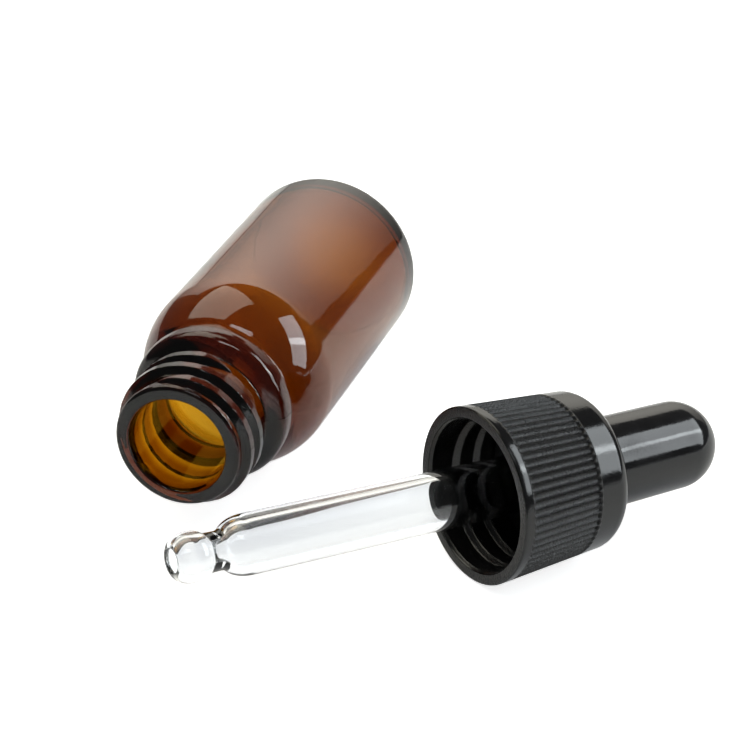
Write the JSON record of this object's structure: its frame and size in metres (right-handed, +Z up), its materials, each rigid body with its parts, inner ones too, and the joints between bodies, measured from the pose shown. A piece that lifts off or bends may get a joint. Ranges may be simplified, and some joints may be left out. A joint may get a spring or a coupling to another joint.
{
  "type": "dropper bottle",
  "caption": "Small amber glass dropper bottle lying open, its screw cap with rubber bulb and glass pipette beside it.",
  "frame": {"origin": "on the surface it lies on, under the centre of the whole part's bounding box", "axes": "+Z up; +Y along the bottle's axis from its mouth to its base; the dropper lies on the +X side"},
  "size_m": [0.0726, 0.086, 0.0248],
  "materials": {
    "amber_glass": "polished amber glass",
    "black_plastic": "moulded, glossy bands and grained ribs",
    "black_rubber": "smooth glossy rubber",
    "clear_glass": "fire-polished clear glass"
  },
  "bodies": {
    "bottle": {"bottle": "amber_glass"},
    "dropper": {"glass_pipette": "clear_glass"},
    "cap": {"screw_cap": "black_plastic"},
    "bulb": {"rubber_bulb": "black_rubber"}
  },
  "joints": [
    {"name": "dropper_lift", "type": "slide", "parent": "bottle", "child": "dropper", "axis": [0, 0, 1], "range_m": [0, 0.12]},
    {"name": "cap_turn", "type": "hinge", "parent": "dropper", "child": "cap", "pos_m": [0.01237, -0.01137, 0.01074], "axis": [0.6244, 0.7779, -0.0707], "continuous": true},
    {"name": "bulb_squeeze", "type": "slide", "parent": "dropper", "child": "bulb", "axis": [-0.6244, -0.7779, 0.0707], "range_m": [0, 0.004], "stiffness_N_per_m": 900, "deforming": ["rubber_bulb"]}
  ]
}
